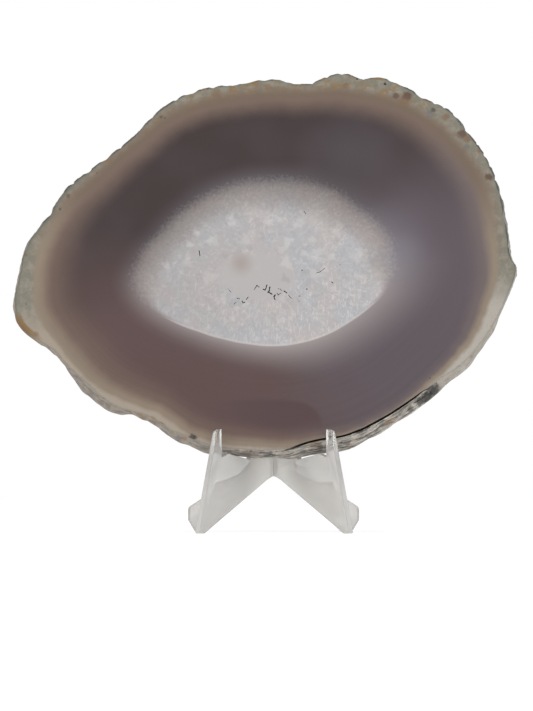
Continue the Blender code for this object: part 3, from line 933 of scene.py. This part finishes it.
white_rind = agate.mix(agate.share(fine_mottle, 0.5, 0.75, 0.0, 0.35), white_rind, RIND_PALE)
low_side = agate.sum("ADD", to_top, agate.share(to_right, 0.5, -0.5, 0.0, 0.13))
rind = agate.mix(agate.share(low_side, -0.04, -0.22), rind, white_rind)
line_gap = agate.sum("MULTIPLY_ADD", fine_mottle, -0.8, edge_gap_out)
thin_edge = agate.sum("MULTIPLY", agate.share(line_gap, 0.22, -0.05),
                      agate.share(to_top, -0.1, 0.1, 0.25, 0.9))
rind = agate.mix(thin_edge, rind, RIND_LINE)
stain_noise = agate.noise(agate.vector_sum("MULTIPLY", upright, (1.0, 1.0, 2.2)), 0.22, 4.0, 0.65)
top_stains = agate.sum("MULTIPLY", agate.share(stain_noise, 0.50, 0.62, 0.0, 0.8),
                       agate.share(to_top, 0.55, 0.85))
rind = agate.mix(top_stains, rind, RIND_OCHRE)
specks = agate.share(agate.noise(upright, 1.5, 3.0, 0.6), 0.64, 0.71, 0.0, 0.6)
specks = agate.sum("MULTIPLY", specks, agate.share(to_top, 0.0, 0.3))
rind = agate.mix(specks, rind, RIND_SPECK)
wedge = agate.sum("MULTIPLY", agate.share(to_top, -0.205, -0.25),
                  agate.share(to_top, -0.37, -0.29))
wedge = agate.sum("MULTIPLY", wedge, agate.share(to_right, -0.8, -0.9))
wedge = agate.sum("MULTIPLY", wedge, agate.share(line_gap, 1.3, 0.6, 0.0, 0.9))
rind = agate.mix(wedge, rind, seen(134, 108, 70))
rind_width = agate.share(to_top, -0.2, 0.5, -1.8, -4.0)
to_rind = agate.share(agate.sum("ADD", cream_gap, wobble), 0.0, rind_width)
pattern = agate.mix(to_rind, pattern, rind)
print("the outer rind is", [round(c, 3) for c in RIND_GREEN[:3]])

# %% Spots
RUST = seen(128, 99, 76)
BROWN = seen(99, 76, 66)
BLACK = seen(38, 36, 36)
OCHRE = seen(136, 109, 70)
GREY = seen(112, 112, 112)
SPOTS_SEEN = (  # pixel, radius in millimetres, colour, strength
    ((200, 90), 0.40, BLACK, 0.95), ((357, 79), 0.40, BLACK, 0.95), ((385, 84), 0.60, BLACK, 0.95),
    ((403, 86), 0.35, BLACK, 0.80), ((217, 94), 2.20, RUST, 0.45), ((232, 89), 1.60, OCHRE, 0.55),
    ((247, 84), 1.40, OCHRE, 0.60), ((255, 84), 1.50, OCHRE, 0.55), ((268, 87), 1.50, RUST, 0.50),
    ((295, 84), 1.30, RUST, 0.45), ((335, 85), 1.80, OCHRE, 0.50), ((346, 86), 1.30, RUST, 0.60),
    ((396, 96), 1.40, BROWN, 0.75), ((407, 96), 1.90, BROWN, 0.90), ((404, 101), 2.50, RUST, 0.40),
    ((433, 110), 1.00, BLACK, 0.60), ((430, 114), 1.80, GREY, 0.55), ((446, 117), 1.40, RUST, 0.60),
    ((462, 134), 1.90, BROWN, 0.80), ((467, 139), 1.50, RUST, 0.65), ((467, 147), 1.20, GREY, 0.60),
    ((479, 151), 0.90, RUST, 0.60), ((489, 177), 1.50, BROWN, 0.85), ((161, 117), 0.60, BROWN, 0.7),
    ((165, 118), 0.40, BLACK, 0.60), ((104, 159), 0.90, OCHRE, 0.80), ((108, 161), 1.20, OCHRE, 0.5),
    ((97, 173), 0.50, BROWN, 0.60), ((68, 196), 0.90, BROWN, 0.55), ((60, 209), 0.55, BLACK, 0.55),
    ((26, 255), 0.70, RUST, 0.60), ((26, 304), 0.45, GREY, 0.80), ((433, 378), 0.10, BLACK, 0.5),
    ((152, 420), 1.40, OCHRE, 0.65), ((160, 425), 1.30, RUST, 0.65), ((192, 437), 1.30, BLACK, 0.75),
    ((195, 437), 0.80, BLACK, 0.60), ((101, 400), 1.20, BROWN, 0.60), ((460, 368), 1.30, GREY, 0.35),
    ((430, 378), 0.30, BLACK, 0.70), ((36, 334), 1.10, RUST, 0.45),
)


def add_spots(recipe, where, colour, spots, depth=0.0):
    """Soft spots with ragged edges, on the sawn face or on the rim at a depth behind it."""
    ragged = recipe.noise(where, 0.9, 4.0, 0.7)
    right, behind, up = recipe.parts(where)
    place = recipe.vector(right, recipe.sum("MULTIPLY", behind, 0.5), up)
    for pixel, radius, tint, strength in spots:
        across, height = on_face(*pixel, depth)
        far = recipe.vector_sum("DISTANCE", place, (across, 0.5 * depth, height))
        spread = recipe.sum("MULTIPLY_ADD", ragged, -1.4 * radius, far)
        share = recipe.share(spread, 0.40 * radius, -0.30 * radius, 0.0, strength)
        colour = recipe.mix(share, colour, tint)
    return colour


pattern = add_spots(agate, upright, pattern, SPOTS_SEEN)
print("spots on the rind:", len(SPOTS_SEEN))

# %% [markdown]
# ## Polish
# A polished agate has the gloss of glass. The pits are dull and painted dark as the shade in
# them, the quartz keeps a little of its grain, and very fine scratches of the polishing wheel are
# left everywhere.

# %% Polish
in_pit = agate.sum("MULTIPLY", agate.share(behind, 0.03, 0.14), agate.share(core_gap, 0.0, -2.0))
in_pit = agate.sum("MULTIPLY", in_pit, agate.share(behind, 3.0, 2.0))
# Painted shade: the walls of the pits are painted near-black, as the shade inside them.
pattern = agate.mix(in_pit, pattern, seen(48, 46, 50))
agate.set("Base Color", pattern)
in_core = agate.share(core_gap, 1.0, -3.0)
scratches = agate.noise(agate.vector_sum("MULTIPLY", upright, (1.0, 1.0, 9.0)), 1.4, 3.0, 0.7)
gloss = agate.sum("MULTIPLY_ADD", scratches, 0.10, 0.16)
gloss = agate.sum("MULTIPLY_ADD", in_core, agate.sum("MULTIPLY", grit, 0.25), gloss)
gloss = agate.sum("MULTIPLY_ADD", in_pit, 0.5, gloss)
agate.set("Roughness", gloss)
relief = agate.sum("MULTIPLY", agate.sum("ADD", streaks, grit), in_core)
relief = agate.sum("MULTIPLY_ADD", scratches, 0.12, relief)
agate.set("Normal", agate.bump(relief, 0.04 * MM, 0.35))
agate.set("IOR", 1.54)
agate.set("Coat Weight", 0.25)
agate.set("Coat Roughness", 0.08)
agate.set("Subsurface Weight", 0.0)

# %% [markdown]
# ## The finish of the skin
# The skin follows the rim: pale lumps with grey and black streaks that run along it, one above
# another, as the outermost layers do. The map of the rim turns with the edge, so the streaks do.

# %% Skin
skin = Recipe("agate_skin")
upright = skin.upright()
right, behind, up = skin.parts(upright)
edge_gap_skin, cream_gap_skin, core_gap_skin = skin.parts(skin.attribute("gaps"))
edge_level, to_right, to_top = skin.parts(skin.attribute("levels"))
rim = skin.attribute("round_rim")
streak_map = skin.vector_sum("MULTIPLY", rim, (0.13, 0.13, 1.5))
streaks = skin.noise(streak_map, 1.0, 4.0, 0.65, 0.6)
blotches = skin.noise(skin.vector_sum("MULTIPLY", rim, (0.35, 0.35, 0.9)), 1.0, 3.0, 0.6)
grains = skin.noise(upright, 1.8, 4.0, 0.7)
crust = skin.mix(skin.share(grains, 0.3, 0.7), seen(158, 151, 141), seen(204, 198, 189))
crust = skin.mix(skin.share(blotches, 0.42, 0.62, 0.0, 0.75), crust, seen(150, 144, 136))
streaky = skin.sum("MULTIPLY", skin.share(right, -26.0, -8.0, 0.15, 1.0),
                   skin.share(right, CRACK_TO + 4.0, CRACK_TO - 3.0, 0.12, 1.0))
dark_streaks = skin.sum("MULTIPLY", skin.share(streaks, 0.51, 0.58, 0.0, 0.9), streaky)
crust = skin.mix(dark_streaks, crust, seen(70, 64, 61, 0.0))
light_streaks = skin.sum("MULTIPLY", skin.share(streaks, 0.44, 0.38, 0.0, 0.7), streaky)
crust = skin.mix(light_streaks, crust, seen(222, 215, 204, 0.0))
crust = skin.mix(skin.share(right, -14.0, -30.0, 0.0, 0.7), crust,
                 skin.mix(skin.share(blotches, 0.4, 0.6), seen(150, 138, 127), seen(124, 116, 108)))
black_patches = skin.noise(skin.vector_sum("MULTIPLY", rim, (0.10, 0.10, 0.7)), 1.0, 3.0, 0.7)
black_patches = skin.sum("MULTIPLY", skin.share(black_patches, 0.62, 0.67, 0.0, 0.9), streaky)
crust = skin.mix(black_patches, crust, seen(44, 42, 42, 0.0))
wedge = skin.sum("MULTIPLY", skin.share(to_top, -0.205, -0.25), skin.share(to_top, -0.37, -0.29))
wedge = skin.sum("MULTIPLY", wedge, skin.share(to_right, -0.8, -0.9, 0.0, 0.85))
crust = skin.mix(wedge, crust, seen(122, 94, 60))
smooth_right = skin.sum("MULTIPLY", skin.share(right, CRACK_TO - 2.0, CRACK_TO + 3.0),
                        skin.share(to_top, 0.1, -0.1))
smooth_right = skin.sum("MULTIPLY", smooth_right, skin.share(behind, 3.5, 1.2, 0.0, 0.85))
crust = skin.mix(smooth_right, crust,
                 skin.mix(skin.share(blotches, 0.35, 0.65), seen(178, 172, 163), seen(162, 155, 145)))
top_dark = skin.share(to_top, -0.1, 0.35, 0.0, 0.75)
crust = skin.mix(top_dark, crust, seen(96, 98, 95))
rusty = skin.share(skin.noise(upright, 0.14, 3.0, 0.6), 0.60, 0.68, 0.0, 0.5)
crust = skin.mix(rusty, crust, seen(142, 112, 84))
# Painted shade: the floor of the crack is painted near-black, as the shade inside it.
painted_crack_shade = skin.sum("MULTIPLY", skin.share(edge_gap_skin, -0.48, -0.30),
                      skin.share(behind, 0.04, 0.20))
crack_zone = skin.sum("MULTIPLY", skin.share(right, CRACK_FROM, CRACK_FROM + 5.0),
                      skin.share(right, CRACK_TO + 2.0, CRACK_TO - 3.0))
painted_crack_shade = skin.sum("MULTIPLY", painted_crack_shade, skin.sum("MULTIPLY", crack_zone, skin.share(to_top, -0.3, -0.5)))
SKIN_MARKS_DEPTH = 3.0
SKIN_MARKS_SEEN = (
    ((434, 391), 2.6, BLACK, 0.85), ((427, 397), 2.2, BLACK, 0.85), ((421, 402), 1.8, BLACK, 0.75),
    ((411, 409), 1.3, BLACK, 0.60), ((398, 413), 1.2, BLACK, 0.55), ((381, 424), 1.3, GREY, 0.60),
    ((347, 442), 1.6, GREY, 0.55), ((336, 447), 1.0, BROWN, 0.60), ((320, 447), 1.2, BLACK, 0.50),
    ((303, 452), 1.3, GREY, 0.60), ((271, 453), 1.5, BLACK, 0.85), ((267, 457), 1.2, BLACK, 0.65),
    ((247, 452), 2.0, BROWN, 0.60), ((238, 450), 1.6, BROWN, 0.50), ((205, 447), 1.5, GREY, 0.50),
    ((178, 440), 1.4, GREY, 0.55), ((152, 424), 1.6, RUST, 0.65), ((143, 419), 1.4, OCHRE, 0.60),
    ((110, 405), 1.6, GREY, 0.45), ((92, 393), 2.2, GREY, 0.30), ((76, 380), 2.2, GREY, 0.35),
    ((66, 368), 1.8, GREY, 0.60), ((38, 340), 1.4, OCHRE, 0.70), ((27, 329), 1.4, RUST, 0.60),
)
crust = add_spots(skin, upright, crust, SKIN_MARKS_SEEN, SKIN_MARKS_DEPTH)
crust = skin.mix(painted_crack_shade, crust, seen(16, 14, 14, 0.0))
skin.set("Base Color", crust)
skin.set("Roughness", skin.share(grains, 0.3, 0.7, 0.55, 0.85))
skin_relief = skin.sum("MULTIPLY", skin.sum("ADD", grains, streaks),
                       skin.share(right, -28.0, -12.0, 0.15, 1.0))
skin_relief = skin.sum("MULTIPLY", skin_relief, skin.share(smooth_right, 0.0, 1.0, 1.0, 0.15))
skin.set("Normal", skin.bump(skin_relief, 0.25 * MM, 0.6))

# %% Give the stone its two finishes
stone.data.materials.append(agate.material)
stone.data.materials.append(skin.material)
places = places_of(stone)
for face in stone.data.polygons:
    corners = list(face.vertices)
    depths = places[corners, 1]
    sawn_face = depths.max() < flat or depths.min() > THICKNESS - flat
    in_core_face = gaps[corners, 2].max() < 0.0
    face.material_index = 0 if sawn_face or in_core_face else 1
work_on(stone)
bpy.ops.object.shade_smooth_by_angle(angle=math.radians(38.0))
stone.vertex_groups.clear()
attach(stone, "root")
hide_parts("agate_slice")

# %% [markdown]
# ## The easel
# Two flat panels of clear plastic cross at a right angle and hold each other in half-lap slots.
# Moulded plastic never has a knife-sharp edge, and the narrow rounding is what catches the light
# as a bright line. So a copy of each solid is cleaned of needless edges, and bevelled.

# %% The panels
EDGE_ROUNDING = 0.15


def make_clear_panel(node_name, name):
    panel = copy_of(node_name, name)
    edit()
    bpy.ops.mesh.select_all(action="SELECT")
    bpy.ops.mesh.dissolve_limited(angle_limit=math.radians(1.0))
    leave_edit()
    rounding = panel.modifiers.new("edge_rounding", "BEVEL")
    rounding.width = EDGE_ROUNDING * MM
    rounding.segments = 3
    rounding.limit_method = "ANGLE"
    rounding.angle_limit = math.radians(40.0)
    rounding.use_clamp_overlap = False
    finish_modifier(panel, rounding)
    bpy.ops.object.shade_smooth_by_angle(angle=math.radians(25.0))
    widest = max(panel.data.polygons, key=lambda face: face.area).normal.copy()
    matt = panel.data.attributes.new("matt", "FLOAT", "FACE")
    for face in panel.data.polygons:
        matt.data[face.index].value = 1.0 if abs(face.normal.dot(widest)) < 0.2 else 0.0
    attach(panel, "root")
    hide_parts(node_name)
    return panel


left_panel = make_clear_panel("easel_panel_left", "clear_panel_left")
right_panel = make_clear_panel("easel_panel_right", "clear_panel_right")
print("faces of a panel:", len(left_panel.data.polygons))

# %% [markdown]
# ## Clear plastic
# Light passes through the plastic, bends a little at its faces and loses a little on the way. The
# legs are a little milky, the prongs are clearer, and the narrow edges are matt, as the mould left
# them. The faint waves of the mould show as a slow unevenness of the gloss.

# %% Clear plastic
PRONG_FROM = (24.0 * MM, 29.0 * MM)  # heights between which the plastic turns clearer

clear = Recipe("clear_plastic")
where = clear.node("ShaderNodeTexCoord").outputs["Object"]
waves = clear.noise(where, 220.0, 2.0)
rubs = clear.noise(where, 400.0, 3.0, 0.6)
height = clear.parts(where)[2]
clearer = clear.share(height, *PRONG_FROM)
matt = clear.attribute("matt", "Fac")
clearness = clear.share(clearer, 0.0, 1.0, 0.60, 0.92, False)
left_by_matt = clear.share(clearer, 0.0, 1.0, 0.65, 0.88, False)
clearness = clear.sum("MULTIPLY", clearness, clear.share(matt, 0.0, 1.0, 1.0, left_by_matt))
from_crossing = clear.vector_sum("DISTANCE", clear.vector_sum("MULTIPLY", where, (1.0, 1.0, 0.0)),
                                 (CROSSING.x, CROSSING.y, 0.0))
leg = clear.mix(clear.share(height, 11.0 * MM, 20.0 * MM), (0.74, 0.725, 0.70, 1.0),
                (0.63, 0.617, 0.595, 1.0))
# Painted light: the legs are lighter towards the crossing, to lift the shade in the corner where the two
# panels meet.
leg = clear.mix(clear.share(from_crossing, 15.0 * MM, 3.0 * MM), leg, (0.99, 0.975, 0.95, 1.0))
clear.set("Base Color", clear.mix(clearer, leg, (0.92, 0.91, 0.89, 1.0)))
clear.set("Transmission Weight", clearness)
clear.set("IOR", 1.49)
rubbed = clear.share(rubs, 0.35, 0.75, 0.02, 0.05)
clear.set("Roughness", clear.sum("MULTIPLY_ADD", matt, 0.12, rubbed))
clear.set("Normal", clear.bump(waves, 0.05 * MM, 0.4))
absorb = clear.node("ShaderNodeVolumeAbsorption")
absorb.inputs["Color"].default_value = (0.80, 0.80, 0.77, 1.0)
absorb.inputs["Density"].default_value = 5.0
clear.tree.links.new(absorb.outputs[0], clear.tree.nodes["Material Output"].inputs["Volume"])
for panel in (left_panel, right_panel):
    panel.data.materials.append(clear.material)

# %% [markdown]
# ## Floor and light
# The photograph has no visible room: a white ground and even light from all round. A white floor,
# a bright sky and two large soft lamps in front give that.

# %% Floor
FLOOR_GLOW = 0.62  # a glow stands in for the many lamps that wash out the shadows

bpy.ops.object.select_all(action="DESELECT")
bpy.ops.mesh.primitive_plane_add(size=40.0)
floor = bpy.context.object
floor.name = "floor"
paper = Recipe("white_paper")
paper_grain = paper.noise(paper.node("ShaderNodeTexCoord").outputs["Object"], 300.0, 2.0)
paper.set("Base Color", paper.mix(paper_grain, (0.43, 0.43, 0.43, 1.0), (0.46, 0.46, 0.46, 1.0)))
paper.set("Roughness", 0.9)
paper.set("Emission Color", (1.0, 1.0, 1.0, 1.0))
paper.set("Emission Strength", FLOOR_GLOW)
floor.data.materials.append(paper.material)

# %% Sky and lamps
SKY_LIGHT = 0.80
LAMP_SIZE = 0.9


def add_lamp(name, place, power, colour):
    data = bpy.data.lights.new(name, "AREA")
    data.shape = "SQUARE"
    data.size = LAMP_SIZE
    data.energy = power
    data.color = colour
    lamp = bpy.data.objects.new(name, data)
    lamp.location = place
    aim = slice_to_world @ Vector((0.0, 0.0, 60.0))
    lamp.rotation_euler = (aim - Vector(place)).to_track_quat("-Z", "Y").to_euler()
    bpy.context.scene.collection.objects.link(lamp)
    return lamp


add_lamp("soft_lamp_left", (-1.3, -1.2, 1.5), 14.0, (1.0, 0.98, 0.95))
add_lamp("soft_lamp_right", (1.4, -0.9, 1.2), 8.0, (0.95, 0.97, 1.0))

world = bpy.data.worlds.new("bright_room")
bpy.context.scene.world = world
world.use_nodes = True
sky = world.node_tree
shine = sky.nodes["Background"]
shine.inputs["Color"].default_value = (1.0, 1.0, 1.0, 1.0)
shine.inputs["Strength"].default_value = SKY_LIGHT
backdrop = sky.nodes.new("ShaderNodeBackground")
backdrop.inputs["Color"].default_value = (1.0, 1.0, 1.0, 1.0)
backdrop.inputs["Strength"].default_value = 1.0
path = sky.nodes.new("ShaderNodeLightPath")
choose = sky.nodes.new("ShaderNodeMixShader")
sky.links.new(path.outputs["Is Camera Ray"], choose.inputs[0])
sky.links.new(shine.outputs[0], choose.inputs[1])
sky.links.new(backdrop.outputs[0], choose.inputs[2])
sky.links.new(choose.outputs[0], sky.nodes["World Output"].inputs[0])

bpy.context.scene.view_settings.view_transform = "Standard"
bpy.context.scene.view_settings.look = "None"
